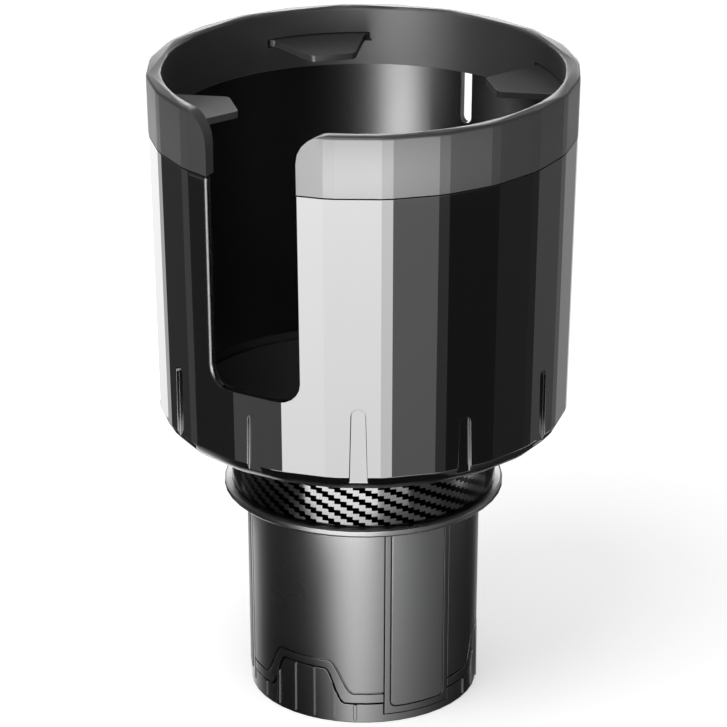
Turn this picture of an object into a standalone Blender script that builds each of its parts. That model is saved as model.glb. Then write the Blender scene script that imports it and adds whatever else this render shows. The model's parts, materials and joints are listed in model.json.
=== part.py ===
"""Cup holder expander: a faceted cup that turns on a round base and spreads three rubber-faced arms.

Metres, +Z up. The origin is the middle of the base's underside. Azimuths are counted from the handle
slot, which faces -Y, towards +X, so a positive azimuth is a positive turn about Z.
"""
import math
from collections import namedtuple

import bmesh
import bpy
from mathutils import Matrix, Vector

# Clearances
GAP = 0.0003
PIN_PLAY = 0.00035

# Cup
FACETS = 24
CUP_HEIGHT = 0.104
RIM_FLAT_RADIUS = 0.060
CUP_TAPER = 0.002
CUP_WALL = 0.00195
CUP_FLOOR = 0.0022
FOOT_HEIGHT = 0.0053
FOOT_LEAN_TOP = 20.0
FOOT_LEAN_BOTTOM = 65.0
FLOOR_FILLET = 0.0045
EDGE_STRIP = 0.0031

# Handle slot and back slit
SLOT_WIDTH = 0.0287
SLOT_DEPTH = 0.078
SLOT_FOOT_RADIUS = 0.006
SLOT_MOUTH_RADIUS = 0.0083
SLIT_WIDTH = 0.0034
SLIT_LENGTH = 0.0155

# Recesses round the cup's foot, tall and short ones in turn
RECESS_COUNT = 12
RECESS_DEPTH = 0.0010
TALL_RECESS_HEIGHT = 0.0256
TALL_RECESS_TOP_WIDTH = 0.0040
TALL_RECESS_FOOT_WIDTH = 0.0054
SHORT_RECESS_HEIGHT = 0.0203
SHORT_RECESS_TOP_WIDTH = 0.0033
SHORT_RECESS_FOOT_WIDTH = 0.0046

# Soft collar and its flaps
COLLAR_HEIGHT = 0.0175
COLLAR_WALL = 0.00355
COLLAR_SKIN = 0.0008
COLLAR_EDGE = 0.0008
TONGUE_RISE = 0.0018
TONGUE_END = 0.0022
FLAP_COUNT = 4
FLAP_DROP = 0.0078
FLAP_THICKNESS = 0.0020
FLAP_ROOT_WIDTH = 0.0304
FLAP_BLADE_WIDTH = 0.0268
FLAP_TIP_WIDTH = 0.0129
FLAP_REACH = 0.0193
FLAP_CORNER = 0.0020
FLAP_STEP = 0.0008
FLAP_HEAD_RISE = 0.0013
FLAP_HEAD_MARGIN = 0.0020

# Floor mat
MAT_THICKNESS = 0.0015
MAT_EDGE = 0.0006

# Neck
NECK_HEIGHT = 0.0182
SLEEVE_LEDGE = 0.0021
SLEEVE_WALL = 0.0008
HUB_WALL = 0.0023
HUB_DECK = 0.0024
HUB_POST_RADIUS = 0.0034
HUB_POST_MARGIN = 0.0017
SCREW_RADIUS = 0.0017
SCREW_HEAD_RADIUS = 0.0033
COUNTERSINK = 0.0014

# Base
BASE_HEIGHT = 0.0620
BASE_TOP_RADIUS = 0.0335
BASE_TAPER = 0.0005
SKIRT_WALL = 0.0019
SKIRT_TOP_RING = 0.0019
FLANGE_OVERHANG = 0.0066
FLANGE_THICKNESS = 0.0019
FLANGE_EDGE = 0.0006
FLANGE_LAP = 0.0006
COVER_FLOOR = 0.0024
COVER_INSET = 0.0001
COVER_EDGE = 0.0002

# Stepped lines of the base, as heights and azimuths from a panel's middle
LOWER_LINE_HIGH = 0.0167
LOWER_LINE_LOW = 0.0061
LOWER_LINE_CREST = 11.6
LOWER_LINE_FOOT = 21.6
UPPER_LINE_HIGH = 0.0195
UPPER_LINE_LOW = 0.0093
UPPER_LINE_CREST = 13.8
UPPER_LINE_FOOT = 26.2
LINE_WIDTH = 0.0006
LINE_DEPTH = 0.0009
RIB_COUNT = 6
RIB_PITCH = 10.9
RIB_WIDTH = 0.0009
RIB_PROUD = 0.0004
RIB_FOOT = 0.0010

# Arms, pads and the cam that moves them
ARM_COUNT = 3
ARM_WIDTH = 0.0204
ARM_WALL = 0.0034
ARM_TRAVEL = 0.0070
CUP_TURN = 100.0
CARRIAGE_WIDTH = 0.0120
CARRIAGE_THICKNESS = 0.0030
ARM_WEB = 0.0024
ARM_WEB_DEPTH = 0.0065
PAD_WIDTH = 0.0169
PAD_DEPTH = 0.0012
PAD_PROUD = 0.00015
PAD_FOOT = 0.0023
PAD_TOP = 0.0002
PAD_CORNER = 0.0015
PIN_RADIUS = 0.0020
PIN_INNER_CIRCLE = 0.0150
PIN_SOCKET = 0.0020
PIN_NOSE = 0.0025
CAM_THICKNESS = 0.0030
GUIDE_RIB_WIDTH = 0.0016
GUIDE_RIB_START = 0.0090
GUIDE_RIB_MARGIN = 0.0037

# Pivot and the screws of the bottom cover
BOLT_RADIUS = 0.0040
BOLT_HEAD_RADIUS = 0.0065
BOLT_HEAD_HEIGHT = 0.0040
BOLT_GRIP = 0.0110
BOLT_SOCKET_RADIUS = 0.0030
BOLT_SOCKET_DEPTH = 0.0024
PIVOT_BOSS_RADIUS = 0.0090
PIVOT_BOSS_DROP = 0.0057
WASHER_RADIUS = 0.0080
WASHER_THICKNESS = 0.0012
HUB_BOSS_RADIUS = 0.0075
COVER_SCREW_LENGTH = 0.0160
COVER_BOSS_RADIUS = 0.0044
COVER_BOSS_MARGIN = 0.0013
COVER_BOSS_HEIGHT = 0.0100
COVER_BOSS_ROOF = 0.0040
FLANGE_POST_RADIUS = 0.0036
FLANGE_POST_BORE_DEPTH = 0.0150
SCREW_HEAD_HEIGHT = 0.0018

# Smoothness, in steps round a circle
ROUND_STEPS = 45
BORE_STEPS = 60
INNER_STEPS = 36
BOSS_STEPS = 14
SMALL_STEPS = 10
ARC_STEPS = 5

# Heights and radii that follow from the sizes above
FLANGE_BOTTOM = BASE_HEIGHT + GAP
FLANGE_TOP = FLANGE_BOTTOM + FLANGE_THICKNESS
HUB_BOTTOM = FLANGE_TOP + GAP
HUB_TOP = HUB_BOTTOM + NECK_HEIGHT
CAM_BOTTOM = HUB_BOTTOM + GAP
CAM_TOP = CAM_BOTTOM + CAM_THICKNESS
CUP_BOTTOM = HUB_TOP + GAP
FLOOR_TOP = CUP_BOTTOM + CUP_FLOOR
FOOT_TOP = CUP_BOTTOM + FOOT_HEIGHT
RIM_TOP = CUP_BOTTOM + CUP_HEIGHT
SEAM = RIM_TOP - COLLAR_HEIGHT
SLOT_BOTTOM = RIM_TOP - SLOT_DEPTH
FLAP_TOP = RIM_TOP - FLAP_DROP
FLAP_BOTTOM = FLAP_TOP - FLAP_THICKNESS
TONGUE_TOP = FLAP_TOP + TONGUE_RISE
SKIRT_WINDOW_TOP = BASE_HEIGHT - SKIRT_TOP_RING
DECK_BOTTOM = SKIRT_WINDOW_TOP
ARM_TOP = DECK_BOTTOM - GAP
ARM_BOTTOM = COVER_FLOOR + GAP
CARRIAGE_BOTTOM = ARM_TOP - CARRIAGE_THICKNESS
PIN_BOTTOM = ARM_TOP - PIN_SOCKET + GAP
PIN_TOP = CAM_BOTTOM + PIN_NOSE
BOSS_BOTTOM = DECK_BOTTOM - PIVOT_BOSS_DROP
WASHER_TOP = BOSS_BOTTOM - GAP
WASHER_BOTTOM = WASHER_TOP - WASHER_THICKNESS
BOLT_SEAT = WASHER_BOTTOM - GAP
BOLT_TOP = CAM_TOP + BOLT_GRIP
COVER_SHOULDER = COVER_BOSS_HEIGHT - COVER_BOSS_ROOF
POST_BOTTOM = COVER_BOSS_HEIGHT + GAP
PIN_SLOT_RADIUS = PIN_RADIUS + PIN_PLAY
SCREW_HOLE_RADIUS = SCREW_RADIUS + GAP
BASE_FOOT_RADIUS = BASE_TOP_RADIUS - BASE_TAPER
COVER_RADIUS = BASE_FOOT_RADIUS - COVER_INSET
COVER_BORE = COVER_RADIUS - SKIRT_WALL
COVER_SCREW_CIRCLE = COVER_BORE - COVER_BOSS_RADIUS - COVER_BOSS_MARGIN
FLANGE_RADIUS = BASE_TOP_RADIUS + FLANGE_OVERHANG
SLEEVE_RADIUS = FLANGE_RADIUS - SLEEVE_LEDGE
HUB_RADIUS = SLEEVE_RADIUS - SLEEVE_WALL - GAP
HUB_BORE = HUB_RADIUS - HUB_WALL
HUB_SCREW_CIRCLE = HUB_BORE - HUB_POST_RADIUS - HUB_POST_MARGIN


def flat_radius(height):
    """Distance from the axis to the cup's flats, which lean out towards the rim."""
    return RIM_FLAT_RADIUS - CUP_TAPER * (RIM_TOP - height) / (RIM_TOP - FOOT_TOP)


FOOT_FLAT_RADIUS = flat_radius(FOOT_TOP)
SEAM_RADIUS = flat_radius(SEAM)
WALL_TOP_RADIUS = SEAM_RADIUS - CUP_WALL
COLLAR_BORE = SEAM_RADIUS - COLLAR_WALL
FLAP_TIP_RADIUS = COLLAR_BORE - FLAP_REACH

FACET_PITCH = 2 * math.pi / FACETS
ARM_PITCH = 2 * math.pi / ARM_COUNT
ARM_AZIMUTHS = [(index + 0.5) * ARM_PITCH for index in range(ARM_COUNT)]
PANEL_AZIMUTHS = [index * ARM_PITCH for index in range(ARM_COUNT)]
FLAP_AZIMUTHS = [(index + 0.5) * 2 * math.pi / FLAP_COUNT for index in range(FLAP_COUNT)]

StepLine = namedtuple("StepLine", "high low crest foot")
LOWER_LINE = StepLine(LOWER_LINE_HIGH, LOWER_LINE_LOW,
                      math.radians(LOWER_LINE_CREST), math.radians(LOWER_LINE_FOOT))
UPPER_LINE = StepLine(UPPER_LINE_HIGH, UPPER_LINE_LOW,
                      math.radians(UPPER_LINE_CREST), math.radians(UPPER_LINE_FOOT))


def polar(radius, azimuth, height=0.0):
    """Point at an azimuth counted from -Y towards +X."""
    return Vector((radius * math.sin(azimuth), -radius * math.cos(azimuth), height))


def make_material(name, colour, roughness, metallic=0.0):
    material = bpy.data.materials.new(name)
    material.use_nodes = True
    shader = material.node_tree.nodes["Principled BSDF"]
    shader.inputs["Base Color"].default_value = (*colour, 1.0)
    shader.inputs["Roughness"].default_value = roughness
    shader.inputs["Metallic"].default_value = metallic
    material.diffuse_color = (*colour, 1.0)
    return material


def make_object(name, bm, azimuth=0.0):
    """Turn a bmesh into an object whose faces point outwards."""
    bmesh.ops.recalc_face_normals(bm, faces=bm.faces)
    mesh = bpy.data.meshes.new(name)
    bm.to_mesh(mesh)
    bm.free()
    piece = bpy.data.objects.new(name, mesh)
    piece.rotation_euler.z = azimuth
    bpy.context.collection.objects.link(piece)
    return piece


def copy_at(piece, name, azimuth):
    """Another object on the same mesh, turned about the product's axis."""
    twin = bpy.data.objects.new(name, piece.data)
    twin.rotation_euler.z = azimuth
    bpy.context.collection.objects.link(twin)
    return twin


def combine(piece, tools, operation="DIFFERENCE"):
    """Boolean the tools into the piece and clear them away."""
    for tool in tools:
        modifier = piece.modifiers.new(tool.name, "BOOLEAN")
        modifier.operation = operation
        modifier.solver = "EXACT"
        modifier.object = tool
    graph = bpy.context.evaluated_depsgraph_get()
    result = bpy.data.meshes.new_from_object(piece.evaluated_get(graph))
    piece.modifiers.clear()
    rough = piece.data
    result.name = rough.name
    piece.data = result
    bpy.data.meshes.remove(rough)
    for tool in tools:
        bpy.data.objects.remove(tool)


def dress(piece, material, sharp_degrees=30.0):
    """Give a finished piece its material and its smooth shading."""
    piece.data.materials.clear()
    piece.data.materials.append(material)
    piece.data.shade_smooth()
    piece.data.set_sharp_from_angle(angle=math.radians(sharp_degrees))


def loft(rings, closed=False):
    """Skin through rings of equal point counts, capped at both ends unless the loft closes on itself."""
    bm = bmesh.new()
    loops = [[bm.verts.new(point) for point in ring] for ring in rings]
    followers = loops[1:] + loops[:1] if closed else loops[1:]
    for near, far in zip(loops, followers):
        for index, vertex in enumerate(near):
            after = (index + 1) % len(near)
            bm.faces.new((vertex, near[after], far[after], far[index]))
    if not closed:
        bm.faces.new(reversed(loops[0]))
        bm.faces.new(loops[-1])
    return bm


def lathe(profile, steps):
    """Revolve a closed outline of (radius, height) points about Z."""
    bm = bmesh.new()
    verts = [bm.verts.new((radius, 0.0, height)) for radius, height in profile]
    edges = [bm.edges.new((start, end)) for start, end in zip(verts, verts[1:] + verts[:1])
             if not start.co.x == end.co.x == 0.0]
    bmesh.ops.spin(bm, geom=verts + edges, cent=(0, 0, 0), axis=(0, 0, 1),
                   angle=2 * math.pi, steps=steps, use_merge=True)
    bmesh.ops.remove_doubles(bm, verts=bm.verts, dist=1e-7)
    poles = [vertex for vertex in bm.verts if vertex.co.xy.length < 1e-7]
    bmesh.ops.dissolve_verts(bm, verts=poles)
    return bm


def prism(outline, sweep):
    """Extrude a flat outline of points along a vector."""
    bm = bmesh.new()
    face = bm.faces.new([bm.verts.new(point) for point in outline])
    swept = bmesh.ops.extrude_face_region(bm, geom=[face])
    moved = [item for item in swept["geom"] if isinstance(item, bmesh.types.BMVert)]
    bmesh.ops.translate(bm, verts=moved, vec=sweep)
    return bm


def box(low, high):
    """Axis-aligned block between two corners."""
    outline = [(low[0], low[1], low[2]), (high[0], low[1], low[2]),
               (high[0], high[1], low[2]), (low[0], high[1], low[2])]
    return prism(outline, (0, 0, high[2] - low[2]))


def cylinder(radius, bottom, top, steps, centre=(0.0, 0.0)):
    """Upright cylinder between two heights."""
    bm = bmesh.new()
    bmesh.ops.create_cone(bm, cap_ends=True, segments=steps, radius1=radius, radius2=radius,
                          depth=top - bottom, matrix=Matrix.Translation((*centre, (bottom + top) / 2)))
    return bm


def arc(centre, radius, start, end, steps=ARC_STEPS):
    """Points on an arc in a plane, angles in degrees from the first axis."""
    points = []
    for index in range(steps + 1):
        angle = math.radians(start + (end - start) * index / steps)
        points.append((centre[0] + radius * math.cos(angle), centre[1] + radius * math.sin(angle)))
    return points


def sector(stations, inner, outer):
    """Solid between two radii over (azimuth, low, high) stations."""
    rings = [[polar(inner, azimuth, low), polar(outer, azimuth, low),
              polar(outer, azimuth, high), polar(inner, azimuth, high)]
             for azimuth, low, high in stations]
    return loft(rings)


def spread(centre, half_angle, steps):
    """Evenly spaced azimuths about a centre."""
    return [centre + half_angle * (2 * index / steps - 1) for index in range(steps + 1)]


# Cup outline

def facet_ring(radius, height):
    """Ring of flats with a narrow strip at each corner."""
    reach = radius * math.tan(FACET_PITCH / 2) - EDGE_STRIP / 2
    spin = math.atan2(reach, radius)
    points = []
    for index in range(FACETS):
        for side in (-1, 1):
            points.append(polar(math.hypot(radius, reach), index * FACET_PITCH + side * spin, height))
    return points


def round_ring(radius, height):
    """Ring on a circle, with a point for each point of a facet ring."""
    return [point.normalized() * radius + Vector((0, 0, height)) for point in facet_ring(1.0, 0.0)]


def slot_cutter(side=0.0, mouth_radius=0.0):
    """Handle slot: parallel sides, round foot corners and, at the collar, a mouth that flares."""
    half = SLOT_WIDTH / 2 + side
    above = RIM_TOP + COLLAR_HEIGHT
    right = arc((half - SLOT_FOOT_RADIUS, SLOT_BOTTOM + SLOT_FOOT_RADIUS), SLOT_FOOT_RADIUS, -90, 0)
    if mouth_radius:
        right += arc((half + mouth_radius, RIM_TOP - mouth_radius), mouth_radius, 180, 90)
    right.append((right[-1][0], above))
    left = [(-across, height) for across, height in reversed(right)]
    outline = [(across, -2 * RIM_FLAT_RADIUS, height) for across, height in right + left]
    return prism(outline, (0, 1.5 * RIM_FLAT_RADIUS, 0))


def slit_cutter():
    """Narrow slit in the back wall, open at the seam, with a round foot."""
    half = SLIT_WIDTH / 2
    foot = arc((0.0, SEAM - SLIT_LENGTH + half), half, 180, 360, 6)
    outline = foot + [(half, RIM_TOP), (-half, RIM_TOP)]
    return prism([(across, RIM_FLAT_RADIUS / 2, height) for across, height in outline],
                 (0, RIM_FLAT_RADIUS, 0))


def recess_cutter(height, top_width, foot_width):
    """Tombstone recess with a floor parallel to the flat that it is cut in."""
    half = top_width / 2
    below = CUP_BOTTOM - FOOT_HEIGHT
    arch = arc((0.0, CUP_BOTTOM + height - half), half, 0, 180, 6)
    outline = [(foot_width / 2, below)] + arch + [(-foot_width / 2, below)]
    floor = [(across, RECESS_DEPTH - flat_radius(level), level) for across, level in outline]
    return prism(floor, (0, -2 * FOOT_HEIGHT, 0))


def flap_notch_cutter():
    """Notch in the wall's tongue that holds the head of a flap."""
    half = FLAP_ROOT_WIDTH / 2 + FLAP_HEAD_MARGIN + GAP
    bottom = FLAP_BOTTOM - FLAP_HEAD_RISE - GAP
    return box((-half, -1.1 * RIM_FLAT_RADIUS, bottom), (half, -RIM_FLAT_RADIUS / 2, RIM_TOP))


def countersunk_hole():
    """Hole for a flat-headed screw in the cup's floor."""
    head = SCREW_HEAD_RADIUS + GAP
    profile = [(0.0, CUP_BOTTOM - CUP_FLOOR), (SCREW_HOLE_RADIUS, CUP_BOTTOM - CUP_FLOOR),
               (SCREW_HOLE_RADIUS, FLOOR_TOP - COUNTERSINK - GAP), (head, FLOOR_TOP - GAP),
               (head, FLOOR_TOP + CUP_FLOOR), (0.0, FLOOR_TOP + CUP_FLOOR)]
    bm = lathe(profile, SMALL_STEPS)
    bmesh.ops.translate(bm, verts=bm.verts, vec=(0, -HUB_SCREW_CIRCLE, 0))
    return bm


def foot_curve():
    """Radii and heights of the foot, which breaks in from the flats and curls under the cup."""
    top, bottom = math.radians(FOOT_LEAN_TOP), math.radians(FOOT_LEAN_BOTTOM)
    radius = FOOT_HEIGHT / (math.sin(bottom) - math.sin(top))
    centre = (FOOT_FLAT_RADIUS - radius * math.cos(top), FOOT_TOP + radius * math.sin(top))
    return arc(centre, radius, -FOOT_LEAN_BOTTOM, -FOOT_LEAN_TOP, 3)


def build_cup_body(material):
    rings = [facet_ring(radius, height) for radius, height in foot_curve()]
    tongue = SEAM_RADIUS - COLLAR_SKIN - GAP
    rings += [facet_ring(SEAM_RADIUS, SEAM), facet_ring(tongue, SEAM), facet_ring(tongue, TONGUE_TOP)]
    cup = make_object("cup_body", loft(rings))

    wall_foot = FOOT_FLAT_RADIUS - CUP_WALL
    corner = arc((wall_foot - FLOOR_FILLET, FLOOR_TOP + FLOOR_FILLET), FLOOR_FILLET, -90, 0, 3)
    hollow = [(0.0, FLOOR_TOP)] + corner
    hollow += [(WALL_TOP_RADIUS, SEAM), (WALL_TOP_RADIUS, RIM_TOP), (0.0, RIM_TOP)]
    cutters = [make_object("hollow", lathe(hollow, BORE_STEPS)),
               make_object("handle_slot", slot_cutter()),
               make_object("tongue_end", tongue_end_cutter()),
               make_object("back_slit", slit_cutter())]
    for index in range(RECESS_COUNT):
        azimuth = index * 2 * math.pi / RECESS_COUNT
        if index % 2:
            shape = recess_cutter(TALL_RECESS_HEIGHT, TALL_RECESS_TOP_WIDTH, TALL_RECESS_FOOT_WIDTH)
        else:
            shape = recess_cutter(SHORT_RECESS_HEIGHT, SHORT_RECESS_TOP_WIDTH, SHORT_RECESS_FOOT_WIDTH)
        cutters.append(make_object("recess", shape, azimuth))
    cutters += [make_object("flap_notch", flap_notch_cutter(), azimuth) for azimuth in FLAP_AZIMUTHS]
    cutters += [make_object("screw_hole", countersunk_hole(), azimuth) for azimuth in PANEL_AZIMUTHS]
    combine(cup, cutters)
    dress(cup, material, sharp_degrees=5.0)


def tongue_end_cutter():
    """Block that ends the wall's tongue short of the slot, where the collar closes over it."""
    half = SLOT_WIDTH / 2 + TONGUE_END + GAP
    return box((-half, -1.1 * RIM_FLAT_RADIUS, SEAM), (half, -RIM_FLAT_RADIUS / 2, RIM_TOP))


# Collar, flaps and floor mat

def groove_cutter():
    """Channel in the collar's underside that slips over the wall's tongue, closed beside the slot."""
    outer = SEAM_RADIUS - COLLAR_SKIN
    inner = WALL_TOP_RADIUS - GAP
    below = SEAM - COLLAR_HEIGHT
    top = TONGUE_TOP + GAP
    groove = make_object("groove", loft([facet_ring(outer, below), facet_ring(outer, top)]))
    core = make_object("groove_core", loft([round_ring(inner, below - GAP), round_ring(inner, top + GAP)]))
    half = SLOT_WIDTH / 2 + TONGUE_END
    end = make_object("groove_end", box((-half, -1.1 * RIM_FLAT_RADIUS, below - GAP),
                                        (half, -RIM_FLAT_RADIUS / 2, top + GAP)))
    combine(groove, [core, end])
    return groove


def window_cutter():
    """Window in the collar's inner wall, from the groove to the bore, for the root of a flap."""
    half_angle = math.asin(FLAP_ROOT_WIDTH / 2 / COLLAR_BORE) + GAP / COLLAR_BORE
    stations = [(azimuth, FLAP_BOTTOM - GAP, FLAP_TOP + GAP) for azimuth in spread(0.0, half_angle, 4)]
    return sector(stations, COLLAR_BORE - COLLAR_WALL, WALL_TOP_RADIUS + GAP)


def build_rim_collar(material):
    bottom = SEAM + GAP
    rings = [facet_ring(flat_radius(bottom), bottom)]
    for step in range(3):
        angle = math.radians(45 * step)
        height = RIM_TOP - COLLAR_EDGE * (1 - math.sin(angle))
        rings.append(facet_ring(flat_radius(height) - COLLAR_EDGE * (1 - math.cos(angle)), height))
    collar = make_object("rim_collar", loft(rings))
    lip = arc((COLLAR_BORE + COLLAR_EDGE, RIM_TOP - COLLAR_EDGE), COLLAR_EDGE, 180, 90, 2)
    above = RIM_TOP + COLLAR_HEIGHT
    bore = [(0.0, SEAM - COLLAR_HEIGHT), (COLLAR_BORE, SEAM - COLLAR_HEIGHT)] + lip
    bore += [(lip[-1][0], above), (0.0, above)]
    cutters = [make_object("bore", lathe(bore, BORE_STEPS)), groove_cutter(),
               make_object("slot_mouth", slot_cutter(mouth_radius=SLOT_MOUTH_RADIUS))]
    cutters += [make_object("window", window_cutter(), azimuth) for azimuth in FLAP_AZIMUTHS]
    combine(collar, cutters)
    dress(collar, material, sharp_degrees=5.0)


def flap_blade():
    """Blade of a flap: a root that follows the wall and a tapered tongue with round corners."""
    root_half = FLAP_ROOT_WIDTH / 2
    step_radius = COLLAR_BORE - FLAP_STEP
    anchor_radius = WALL_TOP_RADIUS + GAP
    root_angle = math.asin(root_half / anchor_radius)
    blade_angle = math.asin(FLAP_BLADE_WIDTH / 2 / step_radius)
    tip_half = FLAP_TIP_WIDTH / 2
    blade_root = polar(step_radius, blade_angle)
    slope = math.atan2(blade_root.x - tip_half, -blade_root.y - FLAP_TIP_RADIUS)
    turn = math.pi / 2 - slope
    inset = FLAP_CORNER * math.tan(turn / 2)
    centre = (tip_half - inset, -(FLAP_TIP_RADIUS + FLAP_CORNER))
    corner = arc(centre, FLAP_CORNER, 90, 90 - math.degrees(turn), 4)
    ends = [polar(step_radius, root_angle - FLAP_STEP / step_radius), polar(COLLAR_BORE, root_angle)]
    anchor = [polar(anchor_radius, azimuth) for azimuth in spread(0.0, root_angle, 6)]
    right = [Vector((across, depth, 0.0)) for across, depth in corner] + [blade_root] + ends
    left = [Vector((-point.x, point.y, 0.0)) for point in reversed(right)]
    outline = right + list(reversed(anchor)) + left
    lift = Vector((0, 0, FLAP_BOTTOM))
    return prism([point + lift for point in outline], (0, 0, FLAP_THICKNESS))


def build_flaps(material):
    head_angle = math.asin((FLAP_ROOT_WIDTH / 2 + FLAP_HEAD_MARGIN) / WALL_TOP_RADIUS)
    low = FLAP_BOTTOM - FLAP_HEAD_RISE
    stations = [(azimuth, low, TONGUE_TOP) for azimuth in spread(0.0, head_angle, 6)]
    flap = make_object("grip_flap_1", flap_blade())
    head = make_object("head", sector(stations, WALL_TOP_RADIUS, WALL_TOP_RADIUS + COLLAR_SKIN))
    combine(flap, [head], "UNION")
    dress(flap, material)
    flap.rotation_euler.z = FLAP_AZIMUTHS[0]
    for number, azimuth in enumerate(FLAP_AZIMUTHS[1:], start=2):
        copy_at(flap, f"grip_flap_{number}", azimuth)


def build_floor_mat(material):
    radius = FOOT_FLAT_RADIUS - CUP_WALL - FLOOR_FILLET - GAP
    bottom = FLOOR_TOP + GAP
    top = bottom + MAT_THICKNESS
    profile = [(0.0, bottom), (radius, bottom), (radius, top - MAT_EDGE),
               (radius - MAT_EDGE, top), (0.0, top)]
    dress(make_object("floor_mat", lathe(profile, INNER_STEPS)), material)


# Neck and cam

def build_neck_hub(material):
    """Turned hub under the cup, with a central boss for the bolt and a post for each screw."""
    ceiling = HUB_TOP - HUB_DECK
    boss_bottom = CAM_TOP + GAP
    profile = [(0.0, HUB_TOP), (HUB_RADIUS, HUB_TOP), (HUB_RADIUS, HUB_BOTTOM), (HUB_BORE, HUB_BOTTOM),
               (HUB_BORE, ceiling), (0.0, ceiling)]
    hub = make_object("neck_hub", lathe(profile, ROUND_STEPS))
    inside = ceiling + HUB_DECK / 2
    solids = [make_object("boss", cylinder(HUB_BOSS_RADIUS, boss_bottom, inside, BOSS_STEPS))]
    holes = [make_object("bore", cylinder(BOLT_RADIUS + GAP, HUB_BOTTOM, BOLT_TOP + GAP, BOSS_STEPS))]
    for azimuth in PANEL_AZIMUTHS:
        centre = polar(HUB_SCREW_CIRCLE, azimuth).xy
        post = cylinder(HUB_POST_RADIUS, boss_bottom, inside, SMALL_STEPS, centre)
        solids.append(make_object("post", post))
        holes.append(make_object("hole", cylinder(SCREW_HOLE_RADIUS, HUB_BOTTOM, CUP_BOTTOM + GAP,
                                                  SMALL_STEPS, centre)))
    combine(hub, solids, "UNION")
    combine(hub, holes)
    dress(hub, material)


def build_carbon_sleeve(material):
    inner = HUB_RADIUS + GAP
    profile = [(inner, HUB_BOTTOM), (SLEEVE_RADIUS, HUB_BOTTOM), (SLEEVE_RADIUS, HUB_TOP), (inner, HUB_TOP)]
    dress(make_object("carbon_sleeve", lathe(profile, ROUND_STEPS)), material)


def spiral_slot(azimuth, bottom, top):
    """Cam slot: a pin that it drives moves out by an equal step for each degree of turn."""
    turn = math.radians(CUP_TURN)
    steps = 14
    inner_edge, outer_edge = [], []
    for index in range(steps + 1):
        share = index / steps
        angle = azimuth + share * turn
        radius = PIN_INNER_CIRCLE + share * ARM_TRAVEL
        here = polar(radius, angle)
        forward = (polar(radius, angle + math.pi / 2) * turn + polar(ARM_TRAVEL, angle)).normalized()
        side = Vector((forward.y, -forward.x, 0.0)) * PIN_SLOT_RADIUS
        inner_edge.append(here - side)
        outer_edge.append(here + side)
    start = polar(PIN_INNER_CIRCLE, azimuth)
    finish = polar(PIN_INNER_CIRCLE + ARM_TRAVEL, azimuth + turn)
    nose = half_circle(finish, outer_edge[-1] - finish)
    tail = half_circle(start, inner_edge[0] - start)
    outline = outer_edge + nose + list(reversed(inner_edge)) + tail
    lift = Vector((0, 0, bottom))
    return prism([point + lift for point in outline], (0, 0, top - bottom))


def half_circle(centre, arm, steps=6):
    """Points between the ends of a half turn that starts at an arm from the centre."""
    return [centre + Matrix.Rotation(math.pi * index / steps, 3, "Z") @ arm for index in range(1, steps)]


def build_cam_plate(material):
    cam = make_object("cam_plate", cylinder(HUB_BORE - GAP, CAM_BOTTOM, CAM_TOP, INNER_STEPS))
    below = CAM_BOTTOM - GAP
    above = CAM_TOP + GAP
    cutters = [make_object("bore", cylinder(BOLT_RADIUS + GAP, below, above, BOSS_STEPS))]
    cutters += [make_object("spiral", spiral_slot(azimuth, below, above)) for azimuth in ARM_AZIMUTHS]
    for azimuth in PANEL_AZIMUTHS:
        centre = polar(HUB_SCREW_CIRCLE, azimuth).xy
        cutters.append(make_object("hole", cylinder(SCREW_HOLE_RADIUS, below, above, SMALL_STEPS, centre)))
    combine(cam, cutters)
    dress(cam, material)


def build_hub_screws(material):
    """Flat-headed screws through the cup's floor and the hub's posts into the cam plate."""
    head = FLOOR_TOP - GAP
    profile = [(0.0, CAM_BOTTOM + GAP), (SCREW_RADIUS, CAM_BOTTOM + 2 * GAP),
               (SCREW_RADIUS, head - COUNTERSINK), (SCREW_HEAD_RADIUS, head), (0.0, head)]
    for number, azimuth in enumerate(PANEL_AZIMUTHS, start=1):
        bm = lathe(profile, SMALL_STEPS)
        bmesh.ops.translate(bm, verts=bm.verts, vec=polar(HUB_SCREW_CIRCLE, azimuth))
        dress(make_object(f"hub_screw_{number}", bm), material)


def build_pivot(steel):
    washer = lathe([(BOLT_RADIUS + GAP, WASHER_BOTTOM), (WASHER_RADIUS, WASHER_BOTTOM),
                    (WASHER_RADIUS, WASHER_TOP), (BOLT_RADIUS + GAP, WASHER_TOP)], BOSS_STEPS)
    dress(make_object("pivot_washer", washer), steel)
    head_bottom = BOLT_SEAT - BOLT_HEAD_HEIGHT
    edge = GAP
    profile = [(0.0, head_bottom), (BOLT_HEAD_RADIUS - edge, head_bottom),
               (BOLT_HEAD_RADIUS, head_bottom + edge), (BOLT_HEAD_RADIUS, BOLT_SEAT),
               (BOLT_RADIUS, BOLT_SEAT), (BOLT_RADIUS, BOLT_TOP - edge),
               (BOLT_RADIUS - edge, BOLT_TOP), (0.0, BOLT_TOP)]
    bolt = make_object("pivot_bolt", lathe(profile, BOSS_STEPS))
    socket = make_object("socket", cylinder(BOLT_SOCKET_RADIUS, head_bottom - GAP,
                                            head_bottom + BOLT_SOCKET_DEPTH, 6))
    combine(bolt, [socket])
    dress(bolt, steel)


# Base

def base_radius(height):
    """Outer radius of the skirt, which tapers a little towards its foot."""
    return BASE_FOOT_RADIUS + (BASE_TOP_RADIUS - BASE_FOOT_RADIUS) * height / BASE_HEIGHT


def line_height(line, azimuth):
    """Height of a stepped line at an azimuth from its panel's middle."""
    run = min(max((abs(azimuth) - line.crest) / (line.foot - line.crest), 0.0), 1.0)
    ease = run * run * (3.0 - 2.0 * run)
    return line.high + (line.low - line.high) * ease


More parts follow.
